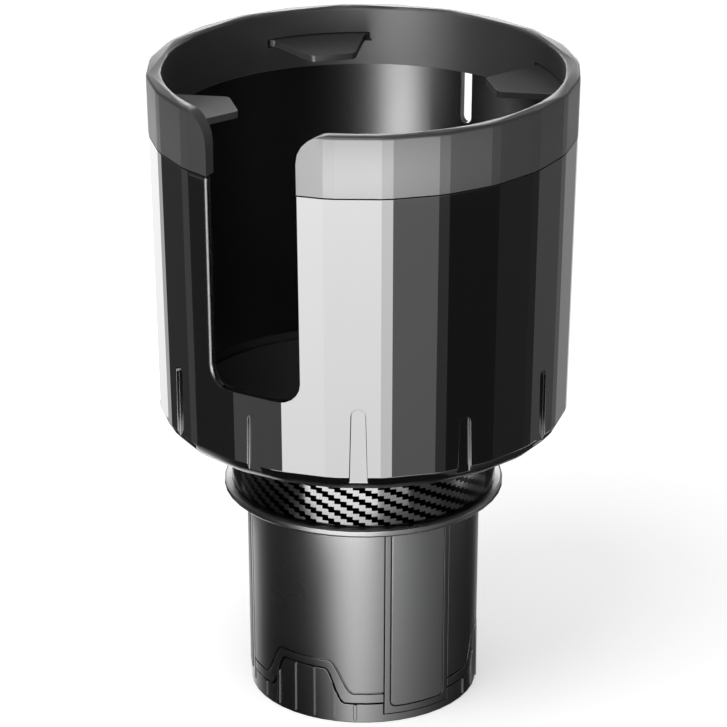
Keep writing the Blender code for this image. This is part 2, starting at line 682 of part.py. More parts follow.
def line_beside(line, azimuth, distance):
    """Height of a curve that keeps a distance from a stepped line, measured square to it."""
    nudge = math.radians(0.5)
    rise = line_height(line, azimuth + nudge) - line_height(line, azimuth - nudge)
    slope = rise / (2 * nudge * BASE_FOOT_RADIUS)
    return line_height(line, azimuth) + distance * math.hypot(1.0, slope)


def line_azimuths(line, half_angle):
    """Azimuths that describe a stepped line: close together on the ramps, far apart elsewhere."""
    ramp = [line.crest + (line.foot - line.crest) * index / 6 for index in range(7)]
    foot = [line.foot + (half_angle - line.foot) * index / 3 for index in range(1, 4)]
    right = [line.crest / 2] + ramp + foot
    return [-azimuth for azimuth in reversed(right)] + [0.0] + right


PANEL_REACH = ARM_PITCH / 2 - math.asin(ARM_WIDTH / 2 / BASE_FOOT_RADIUS) + math.radians(3.0)


def below_line_cutter(line, distance):
    """Everything of a panel under a curve beside a stepped line."""
    stations = [(azimuth, -BASE_HEIGHT, line_beside(line, azimuth, distance))
                for azimuth in line_azimuths(line, PANEL_REACH)]
    return sector(stations, BASE_FOOT_RADIUS - 3 * SKIRT_WALL, BASE_TOP_RADIUS + 2 * SKIRT_WALL)


def above_line_cutter(line, distance):
    """Everything of a panel above a curve beside a stepped line."""
    stations = [(azimuth, line_beside(line, azimuth, distance), BASE_HEIGHT)
                for azimuth in line_azimuths(line, PANEL_REACH)]
    return sector(stations, BASE_FOOT_RADIUS - 3 * SKIRT_WALL, BASE_TOP_RADIUS + 2 * SKIRT_WALL)


def line_groove_cutter(line):
    """Fine groove along a stepped line."""
    half = LINE_WIDTH / 2
    stations = [(azimuth, line_beside(line, azimuth, -half), line_beside(line, azimuth, half))
                for azimuth in line_azimuths(line, PANEL_REACH)]
    return sector(stations, base_radius(line.high) - LINE_DEPTH, BASE_TOP_RADIUS + 2 * SKIRT_WALL)


def arm_window(bottom):
    """Window for an arm, with the clearance that it slides in."""
    half = ARM_WIDTH / 2 + GAP
    return box((-half, -2 * BASE_TOP_RADIUS, bottom), (half, -BASE_TOP_RADIUS / 2, SKIRT_WINDOW_TOP))


def build_base_shell(material):
    profile = [(base_radius(0.0), 0.0), (BASE_TOP_RADIUS, BASE_HEIGHT),
               (BASE_TOP_RADIUS - SKIRT_WALL, BASE_HEIGHT), (base_radius(0.0) - SKIRT_WALL, 0.0)]
    shell = make_object("base_shell", lathe(profile, ROUND_STEPS))
    cutters = [make_object("window", arm_window(-GAP), azimuth) for azimuth in ARM_AZIMUTHS]
    for azimuth in PANEL_AZIMUTHS:
        cutters.append(make_object("foot", below_line_cutter(LOWER_LINE, LINE_WIDTH / 2), azimuth))
        cutters.append(make_object("line", line_groove_cutter(UPPER_LINE), azimuth))
    combine(shell, cutters)
    dress(shell, material)


def build_bottom_cover(material):
    """Cup-shaped cover with a stepped edge, upright ribs, screw bosses and guide ribs for the arms."""
    top = LOWER_LINE_HIGH + SKIRT_WALL
    profile = [(0.0, 0.0), (COVER_RADIUS - COVER_EDGE, 0.0), (COVER_RADIUS, COVER_EDGE), (COVER_RADIUS, top),
               (COVER_BORE, top), (COVER_BORE, COVER_FLOOR), (0.0, COVER_FLOOR)]
    cover = make_object("bottom_cover", lathe(profile, ROUND_STEPS))
    additions = []
    rib_low = (-RIB_WIDTH / 2, -COVER_RADIUS - RIB_PROUD, RIB_FOOT)
    rib_high = (RIB_WIDTH / 2, RIB_PROUD - COVER_RADIUS, top)
    for panel in PANEL_AZIMUTHS:
        for index in range(RIB_COUNT):
            azimuth = panel + math.radians(RIB_PITCH) * (index - (RIB_COUNT - 1) / 2)
            additions.append(make_object("rib", box(rib_low, rib_high), azimuth))
        boss = cylinder(COVER_BOSS_RADIUS, COVER_FLOOR / 2, COVER_BOSS_HEIGHT, SMALL_STEPS,
                        polar(COVER_SCREW_CIRCLE, 0.0).xy)
        additions.append(make_object("boss", boss, panel))
    near = CARRIAGE_WIDTH / 2 + GAP
    far = near + GUIDE_RIB_WIDTH
    guide_end = GUIDE_RIB_MARGIN - COVER_BORE
    guide_top = ARM_BOTTOM + CARRIAGE_THICKNESS
    for azimuth in ARM_AZIMUTHS:
        for left, right in ((-far, -near), (near, far)):
            guide = box((left, guide_end, COVER_FLOOR / 2), (right, -GUIDE_RIB_START, guide_top))
            additions.append(make_object("guide_rib", guide, azimuth))
    combine(cover, additions, "UNION")
    cutters = [make_object("window", arm_window(COVER_FLOOR), azimuth) for azimuth in ARM_AZIMUTHS]
    for azimuth in PANEL_AZIMUTHS:
        centre = polar(COVER_SCREW_CIRCLE, azimuth).xy
        cutters.append(make_object("edge", above_line_cutter(LOWER_LINE, -LINE_WIDTH / 2), azimuth))
        recess = cylinder(SCREW_HEAD_RADIUS + GAP, -GAP, COVER_SHOULDER, SMALL_STEPS, centre)
        hole = cylinder(SCREW_HOLE_RADIUS, 0.0, POST_BOTTOM, SMALL_STEPS, centre)
        cutters += [make_object("recess", recess), make_object("hole", hole)]
    combine(cover, cutters)
    dress(cover, material)


def build_cover_screws(material):
    head_top = COVER_SHOULDER - GAP
    head_bottom = head_top - SCREW_HEAD_HEIGHT
    tip = head_top + COVER_SCREW_LENGTH
    profile = [(0.0, head_bottom), (SCREW_HEAD_RADIUS, head_bottom), (SCREW_HEAD_RADIUS, head_top),
               (SCREW_RADIUS, head_top), (SCREW_RADIUS, tip - GAP), (0.0, tip)]
    for number, azimuth in enumerate(PANEL_AZIMUTHS, start=1):
        bm = lathe(profile, SMALL_STEPS)
        bmesh.ops.translate(bm, verts=bm.verts, vec=polar(COVER_SCREW_CIRCLE, azimuth))
        dress(make_object(f"cover_screw_{number}", bm), material)


def build_flange_plate(material):
    """Flange that laps over the skirt and guide deck inside it, with slots for the pins and screw posts."""
    rebate = BASE_TOP_RADIUS + GAP
    spigot = BASE_TOP_RADIUS - SKIRT_WALL - GAP
    lip = FLANGE_RADIUS - FLANGE_EDGE
    underside = FLANGE_BOTTOM - FLANGE_LAP
    profile = [(0.0, FLANGE_TOP), (lip, FLANGE_TOP), (FLANGE_RADIUS, FLANGE_TOP - FLANGE_EDGE),
               (FLANGE_RADIUS, underside + FLANGE_EDGE), (lip, underside), (rebate, underside),
               (rebate, FLANGE_BOTTOM), (spigot, FLANGE_BOTTOM), (spigot, DECK_BOTTOM), (0.0, DECK_BOTTOM)]
    flange = make_object("flange_plate", lathe(profile, ROUND_STEPS))
    inside = (DECK_BOTTOM + FLANGE_TOP) / 2
    solids = [make_object("boss", cylinder(PIVOT_BOSS_RADIUS, BOSS_BOTTOM, inside, BOSS_STEPS))]
    cutters = [make_object("bore", cylinder(BOLT_RADIUS + PIN_PLAY, BOSS_BOTTOM - GAP, FLANGE_TOP + GAP,
                                            BOSS_STEPS))]
    for azimuth in PANEL_AZIMUTHS:
        centre = polar(COVER_SCREW_CIRCLE, azimuth).xy
        post = cylinder(FLANGE_POST_RADIUS, POST_BOTTOM, inside, SMALL_STEPS, centre)
        hole_top = POST_BOTTOM + FLANGE_POST_BORE_DEPTH
        hole = cylinder(SCREW_HOLE_RADIUS, POST_BOTTOM - GAP, hole_top, SMALL_STEPS, centre)
        solids.append(make_object("post", post))
        cutters.append(make_object("hole", hole))
    combine(flange, solids, "UNION")
    cutters += [make_object("guide", guide_slot(), azimuth) for azimuth in ARM_AZIMUTHS]
    combine(flange, cutters)
    dress(flange, material)


def guide_slot():
    """Radial slot that a follower pin runs in."""
    inner = arc((0.0, -PIN_INNER_CIRCLE), PIN_SLOT_RADIUS, 0, 180, 6)
    outer = arc((0.0, -PIN_INNER_CIRCLE - ARM_TRAVEL), PIN_SLOT_RADIUS, 180, 360, 6)
    return prism([(across, depth, DECK_BOTTOM - GAP) for across, depth in inner + outer],
                 (0, 0, FLANGE_TOP - DECK_BOTTOM + 2 * GAP))


# Arms

def arm_wall():
    """Curved wall of an arm: flush with the skirt outside, flat inside."""
    half = ARM_WIDTH / 2
    inside = BASE_FOOT_RADIUS - ARM_WALL
    rings = []
    for height in (ARM_BOTTOM, ARM_TOP):
        radius = base_radius(height)
        face = [polar(radius, azimuth, height) for azimuth in spread(0.0, math.asin(half / radius), 8)]
        rings.append(face + [Vector((half, -inside, height)), Vector((-half, -inside, height))])
    return loft(rings)


def pad_outline(margin):
    """Pad seen from outside: square at the top, with round corners at its foot, grown by a margin."""
    half = PAD_WIDTH / 2 + margin
    bottom = ARM_BOTTOM + PAD_FOOT - margin
    top = ARM_TOP - PAD_TOP + margin
    radius = PAD_CORNER + margin
    right = arc((half - radius, bottom + radius), radius, -90, 0, 3) + [(half, top)]
    return right + [(-across, height) for across, height in reversed(right)]


def pad_block(margin, inner, outer):
    """Part of a tapered ring that a pad's outline takes; inner and outer are offsets from the skirt."""
    low, high = 0.0, BASE_HEIGHT
    ring = [(base_radius(low) + inner, low), (base_radius(low) + outer, low),
            (base_radius(high) + outer, high), (base_radius(high) + inner, high)]
    block = make_object("pad_ring", lathe(ring, ROUND_STEPS))
    outline = [(across, -2 * BASE_TOP_RADIUS, height) for across, height in pad_outline(margin)]
    mask = make_object("pad_mask", prism(outline, (0, 1.5 * BASE_TOP_RADIUS, 0)))
    combine(block, [mask], "INTERSECT")
    return block


def build_arms(plastic, rubber, steel):
    inside = BASE_FOOT_RADIUS - ARM_WALL
    seat = inside + ARM_WALL / 4
    half = CARRIAGE_WIDTH / 2
    inner_end = PIN_INNER_CIRCLE - PIN_RADIUS - PIN_SOCKET
    arm = make_object("arm_1", arm_wall())
    carriage = make_object("carriage", box((-half, -seat, CARRIAGE_BOTTOM), (half, -inner_end, ARM_TOP)))
    shoe = make_object("shoe", box((-half, -seat, ARM_BOTTOM),
                                   (half, -inner_end, ARM_BOTTOM + CARRIAGE_THICKNESS)))
    web = make_object("web", box((-ARM_WEB / 2, -seat, ARM_BOTTOM + CARRIAGE_THICKNESS / 2),
                                 (ARM_WEB / 2, ARM_WEB_DEPTH - inside, ARM_TOP - CARRIAGE_THICKNESS / 2)))
    combine(arm, [carriage, shoe, web], "UNION")
    socket = make_object("socket", cylinder(PIN_RADIUS + GAP, ARM_TOP - PIN_SOCKET, ARM_TOP + GAP,
                                            SMALL_STEPS, polar(PIN_INNER_CIRCLE, 0.0).xy))
    pocket = pad_block(GAP, -PAD_DEPTH - GAP, 2 * SKIRT_WALL)
    combine(arm, [socket, pocket])
    dress(arm, plastic)

    pad = pad_block(0.0, -PAD_DEPTH, PAD_PROUD)
    pad.name = "arm_pad_1"
    dress(pad, rubber)

    edge = GAP
    profile = [(0.0, PIN_BOTTOM), (PIN_RADIUS - edge, PIN_BOTTOM), (PIN_RADIUS, PIN_BOTTOM + edge),
               (PIN_RADIUS, PIN_TOP - edge), (PIN_RADIUS - edge, PIN_TOP), (0.0, PIN_TOP)]
    bm = lathe(profile, SMALL_STEPS)
    bmesh.ops.translate(bm, verts=bm.verts, vec=polar(PIN_INNER_CIRCLE, 0.0))
    pin = make_object("follower_pin_1", bm)
    dress(pin, steel)

    for piece, name in ((arm, "arm"), (pad, "arm_pad"), (pin, "follower_pin")):
        piece.rotation_euler.z = ARM_AZIMUTHS[0]
        for number, azimuth in enumerate(ARM_AZIMUTHS[1:], start=2):
            copy_at(piece, f"{name}_{number}", azimuth)


def main():
    for leftover in list(bpy.data.objects):
        bpy.data.objects.remove(leftover)
    gloss = make_material("gloss_black", (0.012, 0.012, 0.013), 0.12)
    satin = make_material("satin_black", (0.016, 0.016, 0.017), 0.38)
    collar = make_material("collar_elastomer", (0.055, 0.056, 0.058), 0.5)
    rubber = make_material("pad_rubber", (0.060, 0.062, 0.064), 0.6)
    carbon = make_material("carbon_twill", (0.020, 0.020, 0.022), 0.25)
    nylon = make_material("cam_nylon", (0.080, 0.080, 0.082), 0.45)
    steel = make_material("steel", (0.560, 0.560, 0.570), 0.3, 1.0)

    build_cup_body(gloss)
    build_rim_collar(collar)
    build_flaps(collar)
    build_floor_mat(rubber)
    build_neck_hub(satin)
    build_carbon_sleeve(carbon)
    build_cam_plate(nylon)
    build_hub_screws(steel)
    build_pivot(steel)
    build_flange_plate(satin)
    build_base_shell(satin)
    build_bottom_cover(satin)
    build_cover_screws(steel)
    build_arms(satin, rubber, steel)


main()
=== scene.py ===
"""Looks of the cup holder expander: materials, soft edges, studio and camera."""
import json
import math

import bpy
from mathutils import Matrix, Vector

# Camera, as the photograph was taken. Angles are in degrees and lengths in metres throughout.
VIEW_AZIMUTH = 31.4
VIEW_ELEVATION = 22.34
VIEW_DISTANCE = 1.1186
VIEW_HEIGHT = 0.0982
LENS = 193.88
SENSOR = 36.0

# Floor, and the world's light on the object and towards the camera
FLOOR_SIZE = 4.0
FLOOR_TONE = 0.9
FLOOR_ROUGHNESS = 0.9
FLOOR_GLOW = 0.45
WORLD_LIGHT = 0.5
WORLD_BACKGROUND = 1.0

# Glowing rings that only reflections see. Each has a radius, the height and gain of its foot and of
# its top, and its strength at azimuths from the camera's side. The two shades are dark arcs at the
# back, which hide the rings behind them from the cup's foot and the flange.
RINGS = {
    "shade_left": (0.095, (0.018, 1.0), (0.0405, 1.0), ((-168, 0.08), (-112, 0.08))),
    "shade_right": (0.095, (0.018, 1.0), (0.0405, 1.0), ((112, 0.08), (168, 0.08))),
    "ring_cover": (0.10, (-0.09, 0.45), (-0.016, 0.90), (
        (-180, 1.2), (-150, 3.0), (-135, 3.2), (-120, 2.0), (-108, 0.6), (-96, 0.2), (-79, 0.1),
        (-53, 0.1), (-41, 0.3), (-35, 0.7), (-29, 1.6), (-23, 4.0), (-18, 7.8), (-9, 12.3),
        (0, 11.4), (10, 8.2), (20, 5.0), (31, 3.8), (43, 2.4), (53, 1.5), (66, 0.8), (80, 0.4),
        (97, 0.2), (112, 0.1), (125, 0.05), (145, 0.8), (160, 2.0), (180, 1.2))),
    "ring_base": (0.10, (-0.016, 0.90), (0.031, 1.15), (
        (-180, 1.2), (-150, 3.0), (-135, 3.2), (-120, 2.3), (-108, 0.8), (-96, 0.3), (-79, 0.2),
        (-53, 0.3), (-41, 0.9), (-35, 1.9), (-29, 4.2), (-23, 7.0), (-18, 9.6), (-9, 12.3),
        (0, 11.4), (10, 8.2), (20, 5.0), (31, 3.8), (43, 2.4), (53, 1.5), (66, 0.8), (80, 0.4),
        (97, 0.2), (112, 0.1), (125, 0.05), (145, 0.8), (160, 2.0), (180, 1.2))),
    "ring_flange": (0.10, (0.031, 1.0), (0.041, 1.0), (
        (-180, 1.0), (-160, 3.0), (-140, 2.5), (-125, 1.2), (-110, 0.3), (-60, 0.2), (-44, 2.0),
        (-38, 6.0), (-33, 18.0), (-29, 23.0), (-10, 22.0), (0, 18.0), (6, 14.0), (10, 7.0),
        (14, 3.5), (25, 1.4), (45, 2.0), (60, 0.8), (80, 0.5), (125, 0.5), (140, 1.0), (180, 1.0))),
    "ring_sleeve": (0.10, (0.041, 1.0), (0.056, 1.0), (
        (-180, 0.4), (-160, 0.4), (-128, 0.5), (-118, 0.5), (-108, 0.3), (-95, 0.25), (-43, 0.2),
        (-42, 8.6), (10, 8.6), (11, 3.0), (31, 2.8), (33, 0.35), (66, 0.35), (70, 0.8), (78, 3.2),
        (98, 3.2), (106, 0.6), (115, 0.2), (180, 0.4))),
    "ring_foot": (0.30, (-0.135, 1.0), (-0.060, 1.0), (
        (-180, 0.3), (-120, 0.2), (-60, 0.2), (-30, 0.4), (10, 0.4), (60, 0.2), (120, 0.2),
        (180, 0.3))),
    "ring_cup": (0.30, (-0.060, 0.84), (0.078, 1.0), (
        (-180, 2.0), (-165, 2.6), (-140, 2.8), (-123, 1.6), (-122, 0.25), (-107, 0.25),
        (-106, 0.7), (-95, 0.7), (-94, 0.2), (-68, 0.25), (-67, 1.3), (-38, 1.3), (-37, 19.0),
        (-24, 19.0), (-23, 18.2), (4, 18.2), (5, 13.6), (17, 13.4), (18, 2.3), (32, 2.1),
        (33, 0.6), (45, 0.6), (46, 0.13), (73, 0.13), (74, 0.25), (100, 0.25), (101, 0.62),
        (130, 0.62), (150, 0.9), (180, 2.0))),
    "ring_collar": (0.30, (0.078, 1.0), (0.18, 1.0), (
        (-180, 2.0), (-140, 3.0), (-122, 1.4), (-107, 0.8), (-60, 1.0), (-38, 1.5), (-37, 22.0),
        (-20, 24.0), (-10, 30.0), (8, 30.0), (17, 18.0), (18, 9.5), (34, 6.5), (46, 2.0),
        (73, 0.6), (100, 0.3), (130, 1.2), (160, 2.0), (180, 2.0))),
    "ring_back": (0.30, (0.18, 1.0), (0.24, 1.0), (
        (-180, 8.0), (-152, 8.0), (-151, 0.4), (-38, 0.4), (-37, 14.0), (17, 14.0), (18, 0.6),
        (151, 0.6), (152, 8.0), (180, 8.0))),
    "ring_sky": (0.30, (0.24, 1.0), (0.60, 0.3), (
        (-180, 0.5), (-90, 0.3), (90, 0.4), (180, 0.5))),
}
RING_STEP = 6

# Glowing discs that close the rings, with their height and strength
DISCS = {"ceiling": (0.60, 0.045), "cellar": (-0.135, 0.015)}
DISC_RADIUS = 0.31
DISC_POINTS = 36

# Share of the light that plastic mirrors head on: plain plastic, for which the rings' strengths are
# written, and the lacquered kind on the part. The sleeve is metal, so its ring isn't dimmed.
PLAIN_MIRROR = 0.04
MIRROR = 0.134
LACQUER_IOR = 1.7
LACQUER_LEVEL = 1.0
UNDIMMED_RING = "ring_sleeve"

# Drift in the sheen of the plastics and rubbers, and the quality of edges rounded in a material
DRIFT_SCALE = 60.0
DRIFT_DETAIL = 3.0
BEVEL_SAMPLES = 8

# Cup: its wall's middle surface parts the two finishes, and its handle slot's left outer edge is
# rounded in the material, between the slot's foot and the collar's seam
WALL_FOOT = 0.0547
WALL_LEAN = 0.0204
CUP_DRIFT = 0.015
CUP_GRAIN_SCALE = 500.0
CUP_GRAIN_DEPTH = 2e-8
SLOT_ROUNDING = 0.0017
SLOT_LEFT = -0.0105
SLOT_FRONT = -0.05
SLOT_FOOT = 0.1070
SEAM_HEIGHT = 0.1690

# Twill of the neck's sleeve: columns round it, height of a row, and where the first cells start
TWILL_COLUMNS = 136
TWILL_ROW = 0.0009
TWILL_COLUMN_START = 0.16
TWILL_ROW_START = -0.15
TWILL_REPEAT = 4.0
TWILL_LAST_WARP = 1.5
# Sheen of the warp cells, a painted highlight; the weft cells get none, a painted shade for fibres
# turned from the light
TWILL_PAINTED_SHEEN = (0.06, 0.11)
TWILL_ROUGHNESS = 0.14
FIBRES_PER_COLUMN = 9.0
FIBRES_PER_ROW = 0.6

STEEL_COLOUR = (0.56, 0.56, 0.57, 1.0)
STEEL_ROUGHNESS = (0.22, 0.42)
STEEL_GRAIN_SCALE = 900.0
STEEL_GRAIN_DETAIL = 4.0

# Edges: the bend that counts as one, the width that it is rounded to, if any, and the bend between
# upright facets that does, if any
UNROUNDED_STYLE = (40.0, None, None)
UNROUNDED_PIECES = ("base_shell", "bottom_cover", "carbon_sleeve", "arm_1", "arm_2", "arm_3")
EDGE_STYLES = {
    "cup_body": (23.0, 0.0003, 6.8),
    "rim_collar": (50.0, 0.0003, 6.8),
    "flange_plate": (40.0, 0.0002, None),
    **dict.fromkeys(UNROUNDED_PIECES, UNROUNDED_STYLE),
}
PLAIN_STYLE = (40.0, 0.0003, None)
WELD_DISTANCE = 1e-6
FLAT_BEND = 0.3
ROUNDING_SEGMENTS = 2
UPRIGHT_RISE = 0.4

# Pieces with walls turned about the cup's axis, of which the faceted ones are only round inside,
# and what tells such a wall: how far it may face away from the axis, and how little it may lie flat
FACETED_PIECES = ("cup_body", "rim_collar")
ROUND_PIECES = FACETED_PIECES + (
    "floor_mat", "neck_hub", "carbon_sleeve", "flange_plate", "base_shell", "bottom_cover",
    "arm_1", "arm_2", "arm_3", "arm_pad_1", "arm_pad_2", "arm_pad_3")
ROUND_SPREAD = 5.5
ROUND_REACH = 0.3


def polar(radius, azimuth, height=0.0):
    """Point at an azimuth in degrees, counted from -Y towards +X."""
    angle = math.radians(azimuth)
    return Vector((radius * math.sin(angle), -radius * math.cos(angle), height))


# Nodes

def add_node(tree, kind, settings=None, **inputs):
    """Add a node, set its properties and fill or link its inputs by name, or number as i0, i1."""
    node = tree.nodes.new(kind)
    for name, value in (settings or {}).items():
        setattr(node, name, value)
    for name, value in inputs.items():
        socket = node.inputs[int(name[1:])] if name[1:].isdigit() else node.inputs[name]
        if isinstance(value, bpy.types.NodeSocket):
            tree.links.new(value, socket)
        else:
            socket.default_value = value
    return node


def numbered(values):
    return {f"i{index}": value for index, value in enumerate(values)}


def math_node(tree, operation, *values):
    settings = {"operation": operation}
    return add_node(tree, "ShaderNodeMath", settings, **numbered(values)).outputs[0]


def vector_node(tree, operation, *values, **inputs):
    """Outputs of an operation on vectors."""
    settings = {"operation": operation}
    return add_node(tree, "ShaderNodeVectorMath", settings, **numbered(values), **inputs).outputs


def all_of(tree, test, *others):
    """1 where every one of the tests gives 1."""
    for other in others:
        test = math_node(tree, "MULTIPLY", test, other)
    return test


def map_range(tree, value, low, high, start=0.0, end=1.0):
    """Map a value from one range onto another."""
    spans = {"From Min": start, "From Max": end, "To Min": low, "To Max": high}
    return add_node(tree, "ShaderNodeMapRange", Value=value, **spans).outputs["Result"]


def split(tree, vector):
    return add_node(tree, "ShaderNodeSeparateXYZ", Vector=vector).outputs


def combine(tree, **axes):
    return add_node(tree, "ShaderNodeCombineXYZ", **axes).outputs[0]


# Materials

def new_material(name):
    material = bpy.data.materials.new(name)
    material.use_nodes = True
    tree = material.node_tree
    return material, tree, tree.nodes["Principled BSDF"]


def lacquer(shader, colour):
    """Give a plastic or rubber its colour and the stronger mirroring of a lacquered one."""
    shader.inputs["Base Color"].default_value = (*colour, 1.0)
    shader.inputs["IOR"].default_value = LACQUER_IOR
    shader.inputs["Specular IOR Level"].default_value = LACQUER_LEVEL


def own_space(tree):
    return add_node(tree, "ShaderNodeTexCoord").outputs["Object"]


def grain(tree, scale, detail=2.0):
    """Noise in the object's own space."""
    settings = {"Vector": own_space(tree), "Scale": scale, "Detail": detail}
    return add_node(tree, "ShaderNodeTexNoise", **settings).outputs["Fac"]


def drift(tree, low, high):
    """Roughness that wanders between two values."""
    return map_range(tree, grain(tree, DRIFT_SCALE, DRIFT_DETAIL), low, high)


def surface(tree, shader, grain_scale, grain_depth, rounding=None):
    """Give a shader the relief of a fine grain, and edges rounded to a width, if one is given."""
    relief = {"Height": grain(tree, grain_scale), "Distance": grain_depth}
    if rounding is not None:
        bevel = add_node(tree, "ShaderNodeBevel", {"samples": BEVEL_SAMPLES}, Radius=rounding)
        relief["Normal"] = bevel.outputs["Normal"]
    bump = add_node(tree, "ShaderNodeBump", **relief)
    tree.links.new(bump.outputs["Normal"], shader.inputs["Normal"])


def moulded(name, colour, roughness, vary, grain_scale, grain_depth, rounding=None):
    """Moulded plastic or rubber: even colour, a fine grain and a faint drift in its sheen."""
    material, tree, shader = new_material(name)
    lacquer(shader, colour)
    tree.links.new(drift(tree, roughness - vary, roughness + vary), shader.inputs["Roughness"])
    surface(tree, shader, grain_scale, grain_depth, rounding)
    return material


def two_finish(name, colour, outside, inside):
    """Glossy outside and satin inside, parted halfway through the cup's wall."""
    material, tree, shader = new_material(name)
    lacquer(shader, colour)
    axes = split(tree, own_space(tree))
    square = math_node(tree, "ADD", math_node(tree, "POWER", axes["X"], 2.0),
                       math_node(tree, "POWER", axes["Y"], 2.0))
    radius = math_node(tree, "SQRT", square)
    wall = math_node(tree, "MULTIPLY_ADD", axes["Z"], WALL_LEAN, WALL_FOOT)
    outer = math_node(tree, "GREATER_THAN", radius, wall)
    finish = math_node(tree, "ADD", map_range(tree, outer, inside, outside),
                       drift(tree, -CUP_DRIFT, CUP_DRIFT))
    tree.links.new(finish, shader.inputs["Roughness"])
    slot_edge = all_of(tree,
                       math_node(tree, "LESS_THAN", axes["X"], SLOT_LEFT),
                       math_node(tree, "GREATER_THAN", axes["X"], 2 * SLOT_LEFT),
                       math_node(tree, "LESS_THAN", axes["Y"], SLOT_FRONT),
                       math_node(tree, "GREATER_THAN", axes["Z"], SLOT_FOOT),
                       math_node(tree, "LESS_THAN", axes["Z"], SEAM_HEIGHT))
    rounding = math_node(tree, "MULTIPLY", slot_edge, SLOT_ROUNDING)
    surface(tree, shader, CUP_GRAIN_SCALE, CUP_GRAIN_DEPTH, rounding)
    return material


def carbon_twill(name):
    """Two-by-two twill of warp cells, each one row lower than that on its left; their sheen is a
    painted highlight, and the black weft cells, which mirror nothing, a painted shade.
    """
    material, tree, shader = new_material(name)
    axes = split(tree, own_space(tree))
    turn = math_node(tree, "ARCTAN2", axes["X"], math_node(tree, "MULTIPLY", axes["Y"], -1.0))
    columns = math_node(tree, "MULTIPLY", turn, TWILL_COLUMNS / (2 * math.pi))
    across = math_node(tree, "SUBTRACT", columns, TWILL_COLUMN_START)
    rows = math_node(tree, "DIVIDE", axes["Z"], TWILL_ROW)
    up = math_node(tree, "SUBTRACT", rows, TWILL_ROW_START)
    place = math_node(tree, "ADD", math_node(tree, "FLOOR", across), math_node(tree, "FLOOR", up))
    cell = math_node(tree, "FLOORED_MODULO", place, TWILL_REPEAT)
    warp = math_node(tree, "LESS_THAN", cell, TWILL_LAST_WARP)
    strands = combine(tree, X=math_node(tree, "MULTIPLY", across, FIBRES_PER_COLUMN),
                      Y=math_node(tree, "MULTIPLY", up, FIBRES_PER_ROW))
    fibres = add_node(tree, "ShaderNodeTexNoise", Vector=strands, Scale=1.0, Detail=1.0)
    # Painted highlight on the warp cells and painted shade on the weft cells, which are left black
    painted_cell_sheen = math_node(tree, "MULTIPLY", warp, map_range(tree, fibres.outputs["Fac"], *TWILL_PAINTED_SHEEN))
    colour = add_node(tree, "ShaderNodeCombineColor", Red=painted_cell_sheen, Green=painted_cell_sheen, Blue=painted_cell_sheen).outputs[0]
    tree.links.new(colour, shader.inputs["Base Color"])
    shader.inputs["Metallic"].default_value = 1.0
    shader.inputs["Roughness"].default_value = TWILL_ROUGHNESS
    return material


def turned_steel(name):
    material, tree, shader = new_material(name)
    shader.inputs["Base Color"].default_value = STEEL_COLOUR
    shader.inputs["Metallic"].default_value = 1.0
    noise = grain(tree, STEEL_GRAIN_SCALE, STEEL_GRAIN_DETAIL)
    tree.links.new(map_range(tree, noise, *STEEL_ROUGHNESS), shader.inputs["Roughness"])
    return material


# Edges

def new_group(name):
    group = bpy.data.node_groups.new(name, "GeometryNodeTree")
    for direction in ("INPUT", "OUTPUT"):
        group.interface.new_socket("Geometry", in_out=direction, socket_type="NodeSocketGeometry")
    return group, add_node(group, "NodeGroupInput").outputs[0]


def edge_group(name, bend_limit, facet_limit):
    """Join the loaded faces and shade them smooth, but for edges and upright edges of facets."""
    group, source = new_group(name)
    plain = add_node(group, "GeometryNodeRemoveAttribute", Geometry=source, Name="custom_normal")
    joined = add_node(group, "GeometryNodeMergeByDistance", Geometry=plain.outputs[0],
                      Distance=WELD_DISTANCE)
    soft = add_node(group, "GeometryNodeSetShadeSmooth", {"domain": "FACE"},
                    Geometry=joined.outputs[0])
    bend = add_node(group, "GeometryNodeInputMeshEdgeAngle").outputs["Unsigned Angle"]
    sharp = math_node(group, "GREATER_THAN", bend, math.radians(bend_limit))
    if facet_limit:
        ends = add_node(group, "GeometryNodeInputMeshEdgeVertices").outputs
        along = vector_node(group, "SUBTRACT", ends["Position 1"], ends["Position 2"])["Vector"]
        heading = vector_node(group, "NORMALIZE", along)["Vector"]
        rise = math_node(group, "ABSOLUTE", split(group, heading)["Z"])
        upright = math_node(group, "GREATER_THAN", rise, UPRIGHT_RISE)
        corner = math_node(group, "GREATER_THAN", bend, math.radians(facet_limit))
        sharp = math_node(group, "MAXIMUM", sharp, all_of(group, upright, corner))
    done = add_node(group, "GeometryNodeSetShadeSmooth", {"domain": "EDGE"},
                    Geometry=soft.outputs[0], Selection=sharp, **{"Shade Smooth": False})
    add_node(group, "NodeGroupOutput", Geometry=done.outputs[0])
    return group


